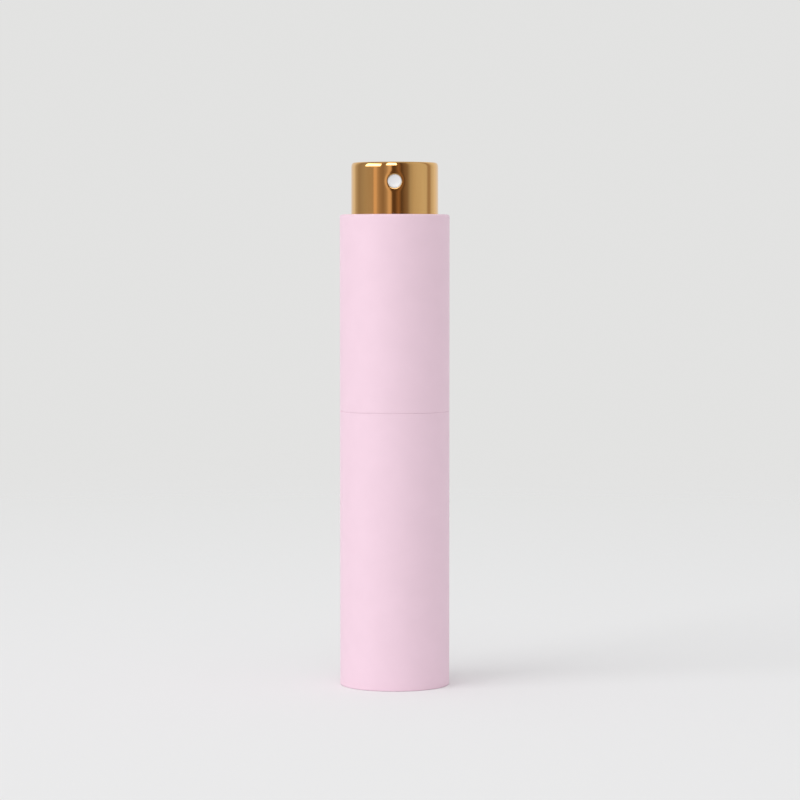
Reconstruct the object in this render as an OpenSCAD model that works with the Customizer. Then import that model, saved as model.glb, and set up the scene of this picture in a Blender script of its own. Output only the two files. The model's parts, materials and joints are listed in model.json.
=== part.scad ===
// Twist-up perfume atomiser. Twisting the upper shell half a turn on the lower one
// raises a glass vial, with its pump and gold spray head, out of the top.
// The origin is the centre of the base, +Z is up, the nozzle faces -Y, and the head is drawn raised.

/* [Shells] */
// Outer diameter of both shells
body_d = 20; // [19:0.5:28]
// Height of the lower shell
lower_h = 50.2; // [38:0.1:70]
// Height of the upper shell
upper_h = 35.65; // [35.65:0.05:60]
// Gap left at the seam between the shells
seam_gap = 0.15; // [0.1:0.05:0.4]
// Wall of the drawn shells
shell_wall = 0.8; // [0.6:0.05:1]
// Thickness of the closed base
base_wall = 1; // [0.6:0.1:2]
// Thickness of the turned-in top
top_wall = 0.9; // [0.6:0.1:1.5]
// Radius of the top outer edge
top_edge_r = 0.45; // [0.2:0.05:0.6]
// Radius of the bottom outer edge
base_edge_r = 0.4; // [0.2:0.05:0.6]
// Radius of the two edges at the seam
seam_edge_r = 0.15; // [0.05:0.05:0.3]

/* [Twist mechanism] */
// How far the head rises
lift = 9.4; // [6:0.1:11.4]
// Turn that raises the head by the whole lift, in degrees
twist_angle = 180; // [150:5:180]
// Wall of the spiral liner
spiral_wall = 0.68; // [0.6:0.02:0.9]
// Wall of the guide tube's neck
guide_wall = 0.6; // [0.5:0.05:0.8]
// Wall of the carrier cup
carrier_wall = 0.5; // [0.4:0.05:0.6]
// Floor of the carrier cup
carrier_floor = 0.8; // [0.5:0.1:1.5]
// Diameter of the carrier's lugs
lug_d = 2; // [1.6:0.1:2.4]
// Height of the snap bead that holds the shells together
bead_h = 0.9; // [0.6:0.1:1.2]
// How far the snap bead stands out
bead_out = 0.3; // [0.2:0.05:0.35]
// Height of the friction ring
ring_h = 0.8; // [0.5:0.1:1]
// Depth of the friction ring's groove
groove_depth = 0.35; // [0.25:0.05:0.4]
// Height of the lugs above the seam when the head is down
lug_floor = 2.85; // [2.7:0.05:3.2]
// Wall left between a straight slot and the friction ring
slot_land = 0.55; // [0.45:0.05:0.8]
// Wall left between the friction ring and the snap bead
ring_land = 0.8; // [0.5:0.1:1]
// Height of the guide tube above the snap bead
bead_land = 0.5; // [0.3:0.1:0.8]
// Height of the carrier's rim above its lugs
carrier_rim = 0.5; // [0.3:0.1:0.7]
// Diameter of the vent in the carrier's floor
vent_d = 3; // [2:0.5:6]

/* [Spray head] */
// Height of the gold cap
head_h = 13; // [11:0.5:15]
// Wall of the gold cap
head_wall = 0.4; // [0.3:0.05:0.6]
// Radius of the cap's top edge
head_edge_r = 0.65; // [0.3:0.05:0.8]
// Gap between the cap and the hole it rises through
head_gap = 0.2; // [0.15:0.05:0.4]
// Depth of the nozzle's centre below the top of the cap
nozzle_drop = 3.5; // [3:0.1:4]
// Diameter of the window in the cap
window_d = 2.6; // [2:0.1:3]
// Diameter of the nozzle insert
insert_d = 3.76; // [3.4:0.02:4]
// Length of the nozzle insert
insert_h = 2.6; // [2:0.1:3]
// Gap between the insert's nose and the window
nose_gap = 0.1; // [0.05:0.05:0.2]
// Depth of the nose's face below the cap's surface
nose_drop = 0.3; // [0.1:0.05:0.4]
// Diameter of the spray orifice
orifice_d = 0.3; // [0.2:0.05:0.5]
// Travel of the button
press_travel = 3.5; // [2.5:0.1:4.2]
// Height of the button core
core_h = 8.9; // [8.7:0.1:9.2]
// Wall of the button core
core_wall = 1; // [0.8:0.1:1.1]
// Roof of the button core
core_roof = 1.5; // [1.2:0.1:1.8]
// Diameter of the core's boss round the stem
boss_d = 5.4; // [5:0.1:6]
// Depth of the stem's end below the nozzle's centre
stem_drop = 2; // [1.9:0.1:2.4]
// Wall round the nozzle insert's socket
socket_wall = 0.7; // [0.5:0.1:0.9]
// Bore of the feed channel up from the stem
feed_d = 1.2; // [1:0.1:1.4]
// Bore of the feed channel across to the nozzle
cross_feed_d = 0.9; // [0.6:0.1:1]
// Diameter of the core's post inside the nozzle insert
post_d = 1.6; // [1.4:0.1:1.8]

/* [Vial] */
// Glass wall of the vial
vial_wall = 0.9; // [0.7:0.05:1.2]
// Glass floor of the vial
vial_floor = 1.2; // [0.8:0.1:2]
// Radius of the vial's bottom outer edge
vial_edge_r = 0.6; // [0.4:0.1:0.9]
// Radius of the vial's inside corners
vial_inner_r = 1; // [0.6:0.1:1.3]
// Thickness of the pad under the vial
pad_h = 0.6; // [0.3:0.1:1]
// Height of the vial's neck
neck_h = 6.6; // [6.2:0.1:8]
// Glass wall of the neck
neck_wall = 1.4; // [1:0.1:1.5]
// Pitch of the neck's screw thread
thread_pitch = 1.5; // [1.4:0.1:1.8]
// How far the thread stands out of the neck
thread_h = 0.5; // [0.4:0.05:0.55]
// Number of turns of thread
thread_turns = 1.75; // [1.5:0.25:1.75]
// Width of the glass thread at its root
thread_root_w = 0.75; // [0.65:0.05:0.8]
// Width of the glass thread at its crest
thread_crest_w = 0.35; // [0.25:0.05:0.4]
// Depth of the thread's upper end below the rim
thread_drop = 1.25; // [1.15:0.05:1.35]

/* [Pump] */
// Wall of the screw collar
collar_wall = 0.55; // [0.5:0.05:0.65]
// Top of the screw collar
collar_cap = 1; // [0.8:0.1:1.1]
// Height of the screw collar's lower edge above the vial's shoulder
collar_raise = 1.1; // [0.8:0.1:1.4]
// Thickness of the gasket on the vial's rim
gasket_h = 0.8; // [0.6:0.1:1]
// Thickness of the housing's flange, and of the retainer's
flange_h = 0.8; // [0.6:0.1:1]
// Wall of the pump housing
housing_wall = 1; // [0.7:0.05:1.1]
// Wall of the housing round the retainer's plug
plug_wall = 0.2; // [0.15:0.05:0.3]
// Depth of the retainer's plug below its flange
plug_h = 3.2; // [3:0.1:3.4]
// Thickness of the stem's seal
seal_h = 0.5; // [0.4:0.1:0.6]
// Length of the pump housing
housing_h = 23; // [22.5:0.5:28]
// Outer diameter of the stem
stem_d = 3.1; // [2.8:0.1:3.3]
// Bore of the stem
stem_bore_d = 1.3; // [1:0.1:1.5]
// Diameter of the stem's cross port
port_d = 0.6; // [0.4:0.1:0.8]
// Thickness of the stem's shoulder under the seal
shoulder_h = 0.8; // [0.6:0.1:1]
// How far the shoulder stands out from the stem
shoulder_out = 0.8; // [0.6:0.1:1]
// Thickness of the stem's foot under the piston
foot_h = 0.8; // [0.6:0.1:1]
// Height of the piston
piston_h = 3.2; // [2.5:0.1:3.8]
// Height of each lip of the piston
lip_h = 0.5; // [0.4:0.1:0.6]
// How far the lips stand out from the piston's waist
lip_out = 0.5; // [0.4:0.05:0.6]
// Depth of the dish in each end of the piston
piston_dish = 0.2; // [0.1:0.05:0.3]
// Slip of the piston on the stem
piston_slip = 0.4; // [0.2:0.1:0.6]
// Wire of the return spring
wire_d = 0.4; // [0.3:0.05:0.5]
// Turns of the return spring
spring_turns = 7; // [5:1:7]
// Diameter of the return spring, at the middle of its wire
spring_d = 4; // [3.8:0.1:4.4]
// Diameter of the valve ball
ball_d = 2.4; // [2:0.1:2.6]
// Lift of the valve ball
ball_lift = 0.8; // [0.5:0.1:0.8]
// Bore under the valve seat
seat_d = 1.5; // [1.2:0.1:1.7]
// Height of the nubs that stop the valve ball
nub_h = 0.5; // [0.4:0.1:0.7]
// Width of the nubs
nub_w = 0.4; // [0.3:0.1:0.6]
// Wall left between the nubs and the cylinder's floor
floor_land = 0.4; // [0.3:0.1:0.6]
// Depth of the dip tube's socket
dip_socket_h = 2.4; // [2.2:0.1:2.8]
// Wall left between the dip tube's socket and the valve seat
seat_land = 0.5; // [0.4:0.1:0.8]
// Wall of the housing's tail round the dip tube
tail_wall = 1.3; // [1.1:0.1:1.5]
// Outer diameter of the dip tube
dip_d = 2.2; // [2:0.1:2.4]
// Wall of the dip tube
dip_wall = 0.35; // [0.25:0.05:0.4]
// Gap between the dip tube's end and the vial's side
dip_side_gap = 1.4; // [0.6:0.1:1.6]
// Gap between the dip tube's end and the vial's floor
dip_end_gap = 1; // [0.8:0.1:2]
// Slant of the dip tube's end, in degrees
dip_cut = 40; // [0:5:45]

/* [Clearances] */
// Gap of a pressed fit
press_gap = 0.02; // [0.01:0.01:0.03]
// Gap of a turning or sliding fit
run_gap = 0.05; // [0.03:0.01:0.08]
// Gap around the carrier and around the vial
slide_gap = 0.08; // [0.05:0.01:0.1]
// Gap that keeps moving pieces apart at the end of a stroke
end_gap = 0.1; // [0.1:0.05:0.2]
// Gap round the valve ball
ball_room = 0.15; // [0.1:0.05:0.2]
// Gap between the pump housing and the bore of the neck
housing_room = 0.5; // [0.4:0.05:0.6]
// Room under the carrier when the head is down
carrier_room = 1; // [0.5:0.1:1.5]
// Room between the gold cap and the spiral liner around it
head_room = 0.56; // [0.4:0.02:0.8]
// Room between the screw collar and the gold cap that slides over it
collar_room = 0.4; // [0.3:0.05:0.5]

/* [Hidden] */
$fn = 96;
wire_fn = 8;
sweep_step = 7.5;

// Radii, from the outside inwards
body_r = body_d / 2;
shell_ir = body_r - shell_wall;
spiral_or = shell_ir - press_gap;
spiral_ir = spiral_or - spiral_wall;
guide_or = spiral_ir - run_gap;
guide_ir = guide_or - guide_wall;
bead_r = guide_or + bead_out;
carrier_or = guide_ir - slide_gap;
carrier_ir = carrier_or - carrier_wall;
vial_r = carrier_ir - slide_gap;
vial_ir = vial_r - vial_wall;
lug_tip_r = shell_ir - 3 * run_gap;
head_r = spiral_ir - head_room;
head_ir = head_r - head_wall;
core_edge_r = max(head_edge_r - head_wall, end_gap / 2);
collar_r = head_ir - collar_room;
collar_ir = collar_r - collar_wall;
neck_r = collar_ir - end_gap - thread_h;
neck_ir = neck_r - neck_wall;
housing_r = neck_ir - housing_room;
chamber_r = housing_r - housing_wall;
stem_r = stem_d / 2;
lug_r = lug_d / 2;
ball_r = ball_d / 2;
dip_r = dip_d / 2;
insert_r = insert_d / 2;
seat_r = seat_d / 2;
cage_r = ball_r + ball_room;
plug_r = housing_r - plug_wall;
spring_r = spring_d / 2;
foot_r = spring_r + wire_d / 2 + end_gap;
tail_r = dip_r + tail_wall;
groove_r = guide_or - groove_depth;
insert_seat = sqrt(pow(head_ir, 2) - pow(insert_r, 2)) - run_gap - insert_h;

// Heights of the shells
upper_z = lower_h + seam_gap;
body_h = upper_z + upper_h;
liner_top = body_h - top_wall;

// Heights of the twist mechanism, with the head raised
lug_low_z = upper_z + lug_floor;
lug_z = lug_low_z + lift;
slot_w = lug_d + 2 * run_gap;
slot_low = lug_low_z - lug_r - run_gap;
slot_high = lug_z + lug_r + run_gap;
ring_z = slot_high + slot_land;
bead_z = ring_z + ring_h + ring_land;
guide_top = bead_z + bead_h + bead_land;
carrier_z = base_wall + carrier_room + lift;
carrier_top = lug_z + lug_r + carrier_rim;
pad_z = carrier_z + carrier_floor;
vial_z = pad_z + pad_h;

// Heights of the head, from its top down
head_top = body_h + lift;
head_z = head_top - head_h;
core_top = head_top - head_wall - press_gap;
nozzle_z = head_top - nozzle_drop;
core_z = head_top - core_h;
stem_top = nozzle_z - stem_drop;

// Heights of the pump, from the collar down
collar_top = core_z - press_travel - end_gap;
cap_under = collar_top - collar_cap;
joint_z = cap_under - flange_h;
flange_z = joint_z - flange_h;
neck_top = flange_z - gasket_h;
neck_z = neck_top - neck_h;
collar_z = neck_z + collar_raise;
thread_top = neck_top - thread_drop;
plug_z = joint_z - plug_h;
stop_z = plug_z - seal_h;
shoulder_z = stop_z - shoulder_h;
piston_z = shoulder_z - piston_slip - piston_h;
foot_z = piston_z - foot_h;
housing_z = joint_z - housing_h;
seat_z = housing_z + dip_socket_h + seat_land;
ball_z = seat_z + ball_r * sqrt(2) - seat_r + press_gap;
nub_z = ball_z + ball_lift + sqrt(pow(ball_r, 2) - pow(ball_r - ball_room, 2)) + end_gap;
floor_z = nub_z + nub_h + floor_land;

// The dip tube's single bend, from the middle of its socket to the corner of the vial
dip_bend_z = housing_z + dip_socket_h / 2;
dip_end_z = vial_z + vial_floor + dip_end_gap;
dip_reach = vial_ir - dip_r - dip_side_gap;
dip_bend_r = (pow(dip_bend_z - dip_end_z, 2) + pow(dip_reach, 2)) / (2 * dip_reach);
dip_bend = asin((dip_bend_z - dip_end_z) / dip_bend_r);

// A flat ring or tube about the Z axis
module tube(inner, outer, low, high) {
    translate([0, 0, low]) difference() {
        cylinder(r = outer, h = high - low);
        translate([0, 0, -1]) cylinder(r = inner, h = high - low + 2);
    }
}

// Cuts an outer corner of a section to a round; into points to the inside of the corner
module corner_cut(at, into, r) {
    over = 0.01;
    difference() {
        translate(at + into * (r - over) / 2) square(r + over, center = true);
        translate(at + into * r) circle(r);
    }
}

// A wall section between two radii and two heights, in the plane that is turned about Z
module wall(inner, outer, low, high) {
    translate([inner, low]) square([outer - inner, high - low]);
}

// A round peg along the -Y axis, from one distance to another
module peg(r, near, far, z) {
    translate([0, -near, z]) rotate([90, 0, 0]) cylinder(r = r, h = far - near);
}

// Sweeps a section of [radius, height] points along a helix about Z
module helix(section, lead, from, to, step = sweep_step) {
    n = ceil(abs(to - from) / step);
    k = len(section);
    points = [
        for (i = [0:n])
            let (a = from + (to - from) * i / n)
            for (p = section)
                [p[0] * cos(a), p[0] * sin(a), p[1] + lead * a / 360]
    ];
    sides = [
        for (i = [0:n - 1])
            for (j = [0:k - 1])
                [i * k + j, (i + 1) * k + j, (i + 1) * k + (j + 1) % k, i * k + (j + 1) % k]
    ];
    ends = [[for (j = [0:k - 1]) j], [for (j = [k - 1:-1:0]) n * k + j]];
    polyhedron(points, concat(sides, ends), convexity = 10);
}

// One screw rib: a section that narrows from its root to its crest
module thread_rib(root, crest, root_w, crest_w) {
    helix(
        crest > root
            ? [[root, -root_w / 2], [root, root_w / 2], [crest, crest_w / 2], [crest, -crest_w / 2]]
            : [[root, root_w / 2], [root, -root_w / 2], [crest, -crest_w / 2], [crest, crest_w / 2]],
        thread_pitch, 0, 360 * thread_turns, 15
    );
}

// Lower shell: a drawn cup with a flat closed base
module lower_sleeve() {
    color("pink") rotate_extrude() difference() {
        wall(0, body_r, 0, lower_h);
        wall(-1, shell_ir, base_wall, lower_h + 1);
        corner_cut([body_r, 0], [-1, 1], base_edge_r);
        corner_cut([body_r, lower_h], [-1, -1], seam_edge_r);
    }
}

// Upper shell: a drawn tube whose top turns in round the spray head
module upper_sleeve() {
    color("pink") rotate_extrude() difference() {
        wall(head_r + head_gap, body_r, upper_z, body_h);
        wall(-1, shell_ir, upper_z - 1, liner_top);
        corner_cut([body_r, body_h], [-1, -1], top_edge_r);
        corner_cut([body_r, upper_z], [-1, 1], seam_edge_r);
        corner_cut([head_r + head_gap, body_h], [1, -1], seam_edge_r);
    }
}

// Guide tube: lines the lower shell, and its slotted neck stands up inside the upper one
module guide_tube() {
    root_r = guide_or - bead_out;
    color("whitesmoke") difference() {
        union() {
            tube(guide_ir, shell_ir - press_gap, base_wall, lower_h);
            tube(guide_ir, guide_or, base_wall, guide_top);
            rotate_extrude() polygon([
                [root_r, bead_z], [bead_r, bead_z], [bead_r, bead_z + bead_h / 3],
                [guide_or, bead_z + bead_h], [root_r, bead_z + bead_h]
            ]);
        }
        tube(groove_r, body_r, ring_z - run_gap, ring_z + ring_h + run_gap);
        for (side = [0, 180]) rotate([0, 0, side]) {
            translate([0, -slot_w / 2, slot_low + slot_w / 2])
                cube([body_r, slot_w, slot_high - slot_low - slot_w]);
            for (z = [slot_low + slot_w / 2, slot_high - slot_w / 2])
                translate([0, 0, z]) rotate([0, 90, 0]) cylinder(d = slot_w, h = body_r);
        }
    }
}

// Spiral liner: turns with the upper shell, and its two helical slots drive the lugs
module spiral_sleeve() {
    slope = atan(lift / (twist_angle * PI / 180 * spiral_ir));
    slot_r = lug_r + 3 * run_gap;
    half = slot_r / cos(slope);
    end_angle = asin(slot_r / spiral_ir);
    lead = -lift * 360 / twist_angle;
    color("gainsboro") difference() {
        tube(spiral_ir, spiral_or, upper_z, liner_top);
        tube(0, bead_r + run_gap, bead_z - run_gap, bead_z + bead_h + run_gap);
        for (side = [0, 180]) rotate([0, 0, side]) translate([0, 0, lug_z]) helix(
            [[spiral_ir - 1, -half], [spiral_ir - 1, half], [body_r, half], [body_r, -half]],
            lead, -end_angle, twist_angle + end_angle
        );
    }
}

// Friction ring: silicone, seated in the guide tube's groove and rubbing on the liner
module friction_ring() {
    color("dimgray")
        tube(groove_r + press_gap, spiral_ir - press_gap, ring_z, ring_z + ring_h);
}

// Carrier: a deep cup with two lugs that pass through the straight and the helical slots
module carrier() {
    color("white") difference() {
        union() {
            tube(carrier_ir, carrier_or, carrier_z, carrier_top);
            tube(vent_d / 2, carrier_or, carrier_z, pad_z);
            for (side = [0, 180]) rotate([0, 0, side]) translate([0, 0, lug_z])
                rotate([0, 90, 0]) cylinder(d = lug_d, h = lug_tip_r);
        }
        translate([0, 0, pad_z]) cylinder(r = carrier_ir, h = carrier_top);
    }
}

// Pad that cushions the glass in the carrier
module vial_pad() {
    color("silver") tube(vent_d / 2, carrier_ir - slide_gap, pad_z, vial_z);
}

// Glass vial with a threaded neck
module glass_vial() {
    shoulder_r = vial_r - neck_r;
    inner_top = neck_z - vial_wall;
    color("azure", 0.5) union() {
        rotate_extrude() difference() {
            union() {
                difference() {
                    wall(0, vial_r, vial_z, neck_z);
                    corner_cut([vial_r, neck_z], [-1, -1], shoulder_r);
                    corner_cut([vial_r, vial_z], [-1, 1], vial_edge_r);
                }
                wall(0, neck_r, neck_z - 1, neck_top);
            }
            difference() {
                wall(-1, vial_ir, vial_z + vial_floor, inner_top);
                corner_cut([vial_ir, inner_top], [-1, -1], vial_inner_r);
                corner_cut([vial_ir, vial_z + vial_floor], [-1, 1], vial_inner_r);
            }
            wall(-1, neck_ir, inner_top - 1, neck_top + 1);
        }
        translate([0, 0, thread_top - thread_pitch * thread_turns])
            thread_rib(neck_r - 0.1, neck_r + thread_h, thread_root_w, thread_crest_w);
    }
}

// Washer that seals the pump's flange on the vial's rim
module neck_gasket() {
    color("lightgray") tube(housing_r + end_gap, neck_r, neck_top, flange_z);
}

// Screw collar that clamps the pump on the vial
module screw_collar() {
    top_r = 0.3;
    root_w = 0.6;
    color("ivory") union() {
        difference() {
            rotate_extrude() difference() {
                wall(0, collar_r, collar_z, collar_top);
                corner_cut([collar_r, collar_top], [-1, -1], top_r);
                corner_cut([collar_r, collar_z], [-1, 1], top_r / 2);
            }
            translate([0, 0, collar_z - 1]) cylinder(r = collar_ir, h = cap_under - collar_z + 1);
            cylinder(r = plug_r + end_gap + run_gap, h = head_top);
        }
        translate([0, 0, thread_top - thread_pitch * (thread_turns + 0.5)])
            thread_rib(collar_ir + 0.1, collar_ir - thread_h + run_gap, root_w, root_w / 2);
    }
}

// Pump housing: flange, cylinder, ball valve seat and dip-tube socket in one moulding
module pump_housing() {
    color("snow") union() {
        difference() {
            union() {
                translate([0, 0, flange_z]) cylinder(r = neck_r, h = flange_h);
                translate([0, 0, nub_z]) cylinder(r = housing_r, h = joint_z - nub_z);
                translate([0, 0, housing_z]) cylinder(r = tail_r, h = floor_z - housing_z);
            }
            translate([0, 0, floor_z]) cylinder(r = chamber_r, h = housing_h);
            translate([0, 0, stop_z]) cylinder(r = plug_r + press_gap, h = housing_h);
            translate([0, 0, housing_z - 1]) cylinder(r = dip_r + press_gap, h = dip_socket_h + 1);
            translate([0, 0, housing_z]) cylinder(r = seat_r, h = seat_z - housing_z + 0.1);
            translate([0, 0, seat_z])
                cylinder(r1 = seat_r, r2 = cage_r, h = cage_r - seat_r);
            translate([0, 0, seat_z + cage_r - seat_r]) cylinder(r = cage_r, h = floor_z);
        }
        for (turn = [0, 120, 240]) rotate([0, 0, turn])
            translate([ball_r - ball_room, -nub_w / 2, nub_z]) cube([4 * ball_room, nub_w, nub_h]);
    }
}

// Retainer: plugs the housing and guides the stem
module pump_retainer() {
    color("snow") difference() {
        union() {
            translate([0, 0, plug_z]) cylinder(r = plug_r, h = collar_top - plug_z);
            translate([0, 0, joint_z]) cylinder(r = neck_r, h = flange_h);
        }
        translate([0, 0, plug_z - 1]) cylinder(r = stem_r + run_gap, h = collar_top);
    }
}

// Washer under the retainer, the upper stop of the stem
module stem_seal() {
    color("dimgray") tube(stem_r + run_gap, plug_r, stop_z, plug_z);
}

// Hollow stem with a shoulder, a foot that carries the piston, and a cross port
module pump_stem() {
    port_z = piston_z + piston_h / 2;
    color("white") difference() {
        union() {
            translate([0, 0, foot_z]) cylinder(r = stem_r, h = stem_top - foot_z);
            translate([0, 0, shoulder_z]) cylinder(r = stem_r + shoulder_out, h = shoulder_h);
            translate([0, 0, foot_z]) cylinder(r = foot_r, h = foot_h);
        }
        translate([0, 0, port_z - port_d / 2]) cylinder(d = stem_bore_d, h = stem_top);
        translate([-body_r, 0, port_z]) rotate([0, 90, 0]) cylinder(d = port_d, h = body_d);
    }
}

// Piston: two thin lips that wipe the cylinder, sliding a little on the stem
module pump_piston() {
    lip_r = chamber_r - press_gap;
    waist_r = chamber_r - lip_out;
    top = piston_z + piston_h;
    color("white") rotate_extrude() polygon([
        [stem_r + run_gap / 2, piston_z], [waist_r, piston_z + piston_dish], [lip_r, piston_z],
        [lip_r, piston_z + lip_h], [waist_r, piston_z + 2 * lip_h],
        [waist_r, top - 2 * lip_h], [lip_r, top - lip_h],
        [lip_r, top], [waist_r, top - piston_dish], [stem_r + run_gap / 2, top]
    ]);
}

// Return spring between the cylinder's floor and the stem's foot
module return_spring() {
    wire_r = wire_d / 2;
    rise = foot_z - floor_z - wire_d - 2 * press_gap;
    color("lightsteelblue") translate([0, 0, floor_z + wire_r + press_gap]) helix(
        [for (i = [0:wire_fn - 1])
            let (a = -360 * i / wire_fn)
            [spring_r + wire_r * cos(a), wire_r * sin(a)]],
        rise / spring_turns, 0, 360 * spring_turns, 20
    );
}

// Inlet valve ball
module check_ball() {
    color("lightsteelblue") translate([0, 0, ball_z]) sphere(r = ball_r);
}

// Dip tube: one easy bend, from its socket towards the corner of the vial
module dip_tube() {
    up = asin((dip_socket_h / 2 - run_gap) / dip_bend_r);
    color("whitesmoke") difference() {
        translate([-dip_bend_r, 0, dip_bend_z]) rotate([90, 0, 0]) rotate([0, 0, -dip_bend])
            rotate_extrude(angle = dip_bend + up) translate([dip_bend_r, 0]) difference() {
                circle(dip_r);
                circle(dip_r - dip_wall);
            }
        translate([-dip_reach, 0, dip_end_z]) rotate([0, dip_cut, 0]) translate([0, 0, -body_r / 2])
            cube([body_d, body_r, body_r], center = true);
    }
}

// Button core: a socket for the stem, a feed channel, and a cup with a post for the nozzle
module spray_actuator() {
    core_r = head_ir - press_gap;
    cup_floor = insert_seat - 0.2;
    feed_z = nozzle_z + 1.2;
    color("white") difference() {
        union() {
            difference() {
                rotate_extrude() difference() {
                    wall(0, core_r, core_z, core_top);
                    corner_cut([core_r, core_top], [-1, -1], core_edge_r);
                }
                tube(boss_d / 2, core_r - core_wall, core_z - 1, core_top - core_roof);
            }
            intersection() {
                translate([0, 0, core_z]) cylinder(r = core_r - core_wall / 2, h = core_h - core_roof);
                peg(insert_r + socket_wall, 0, body_r, nozzle_z);
            }
        }
        translate([0, 0, core_z - 1]) cylinder(r = stem_r + press_gap, h = stem_top - core_z + 1);
        translate([0, 0, core_z]) cylinder(d = feed_d, h = feed_z - core_z);
        peg(cross_feed_d / 2, 0, core_r - 2, feed_z);
        difference() {
            peg(insert_r + press_gap, cup_floor, body_r, nozzle_z);
            peg(post_d / 2, cup_floor - 1, core_r - 1, nozzle_z);
        }
    }
}

// Gold cap over the button core, with the window for the nozzle
module head_shell() {
    color("goldenrod") difference() {
        rotate_extrude() difference() {
            wall(0, head_r, head_z, head_top);
            difference() {
                wall(-1, head_ir, head_z - 1, head_top - head_wall);
                corner_cut([head_ir, head_top - head_wall], [-1, -1], core_edge_r);
            }
            corner_cut([head_r, head_top], [-1, -1], head_edge_r);
        }
        peg(window_d / 2, 0, body_r, nozzle_z);
    }
}

// Nozzle insert: a cup pressed over the core's post, its nose in the cap's window
module nozzle_insert() {
    shoulder = insert_seat + insert_h;
    color("white") difference() {
        union() {
            peg(insert_r, insert_seat, shoulder, nozzle_z);
            peg(window_d / 2 - nose_gap, shoulder - 0.2, head_r - nose_drop, nozzle_z);
        }
        peg(1, insert_seat - 1, shoulder - 0.6, nozzle_z);
        peg(orifice_d / 2, 0, body_r, nozzle_z);
    }
}

lower_sleeve();
upper_sleeve();
guide_tube();
spiral_sleeve();
friction_ring();
carrier();
vial_pad();
glass_vial();
neck_gasket();
screw_collar();
pump_housing();
pump_retainer();
stem_seal();
pump_stem();
pump_piston();
return_spring();
check_ball();
dip_tube();
spray_actuator();
head_shell();
nozzle_insert();
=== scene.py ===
# %% [markdown]
# A twist-up perfume atomiser: two pink lacquered shells that meet in the middle, and a gold
# spray head that rises out of the top when one shell is twisted on the other. The moving frame
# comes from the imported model. This script makes the surfaces that show, in metres, on that frame.

# %% Load the frame
import json
import math

import bmesh
import bpy
from mathutils import Matrix, Vector


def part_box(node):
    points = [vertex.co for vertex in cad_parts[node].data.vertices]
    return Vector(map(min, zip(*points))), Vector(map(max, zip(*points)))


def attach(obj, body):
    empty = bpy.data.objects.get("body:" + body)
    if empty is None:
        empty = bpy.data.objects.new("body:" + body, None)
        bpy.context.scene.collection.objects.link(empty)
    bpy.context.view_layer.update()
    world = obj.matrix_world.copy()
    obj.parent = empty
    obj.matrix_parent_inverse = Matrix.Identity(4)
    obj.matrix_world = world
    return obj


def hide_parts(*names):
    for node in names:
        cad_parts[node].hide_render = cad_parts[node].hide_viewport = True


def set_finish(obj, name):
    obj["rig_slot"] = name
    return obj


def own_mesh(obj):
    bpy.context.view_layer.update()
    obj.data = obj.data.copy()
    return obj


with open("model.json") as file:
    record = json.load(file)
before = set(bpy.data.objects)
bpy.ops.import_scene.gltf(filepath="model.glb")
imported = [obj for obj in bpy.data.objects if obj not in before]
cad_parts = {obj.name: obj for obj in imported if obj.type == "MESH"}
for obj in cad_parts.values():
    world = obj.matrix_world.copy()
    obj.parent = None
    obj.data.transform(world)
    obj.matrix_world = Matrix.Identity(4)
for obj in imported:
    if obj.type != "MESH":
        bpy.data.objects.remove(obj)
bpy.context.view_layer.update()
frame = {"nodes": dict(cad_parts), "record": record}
MM = 0.001

# %% [markdown]
# The camera stands about half a metre away, a little lower than the top of the pink body, and
# looks down by three degrees. A long lens keeps the sides of the body nearly parallel. A short
# lens close by would make the base look narrower, so the distance matters as much as the angle.

# %% Camera
CAMERA_AWAY = 535.9 * MM
CAMERA_HIGH = 80.4 * MM
CAMERA_ASIDE = 0.96 * MM
CAMERA_DOWN = math.radians(3.017)
cam_data = bpy.data.cameras.new("camera")
cam_data.sensor_width = 36
cam_data.lens = 132.1
cam = bpy.data.objects.new("camera", cam_data)
cam.location = (CAMERA_ASIDE, -CAMERA_AWAY, CAMERA_HIGH)
cam.rotation_euler = (math.pi / 2 - CAMERA_DOWN, 0, 0)
bpy.context.scene.collection.objects.link(cam)
bpy.context.scene.camera = cam
bpy.context.scene.view_settings.view_transform = "Standard"
print("camera", tuple(round(v, 3) for v in cam.location))

# %% [markdown]
# Nearly every piece of a cylindrical atomiser is turned: its section is drawn once and spun
# about the axis. A section is a short list of corners, radius and height, which starts and ends
# on the axis for a solid, or closes on itself for a ring. The corners are rounded after the
# spin, with a bevel on each ring of edges, because a bevel keeps the walls exactly in place.


# %% A lathe
SHARP = math.radians(32)


def ring_at(bm, r, z, tol=0.01 * MM):
    """The edges that run round the axis at one radius and height."""
    def on(v):
        return abs(math.hypot(v.co.x, v.co.y) - r) < tol and abs(v.co.z - z) < tol
    return [e for e in bm.edges if on(e.verts[0]) and on(e.verts[1])]


def turn(section, closed=False, steps=192):
    """Spin a section about Z into a closed bmesh with its faces outwards."""
    bm = bmesh.new()
    verts = [bm.verts.new((r, 0, z)) for r, z in section]
    edges = [bm.edges.new(pair) for pair in zip(verts, verts[1:])]
    if closed:
        edges.append(bm.edges.new((verts[-1], verts[0])))
    bmesh.ops.spin(
        bm, geom=verts + edges, cent=(0, 0, 0), axis=(0, 0, 1),
        angle=math.tau, steps=steps, use_merge=True,
    )
    bmesh.ops.remove_doubles(bm, verts=bm.verts, dist=0.001 * MM)
    bmesh.ops.recalc_face_normals(bm, faces=bm.faces)
    return bm


def round_ring(bm, r, z, size, segments=6):
    """Round the corner at one radius and height."""
    bmesh.ops.bevel(
        bm, geom=ring_at(bm, r, z), offset=size, segments=segments,
        profile=0.5, affect="EDGES", material=-1, clamp_overlap=True,
    )


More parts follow.
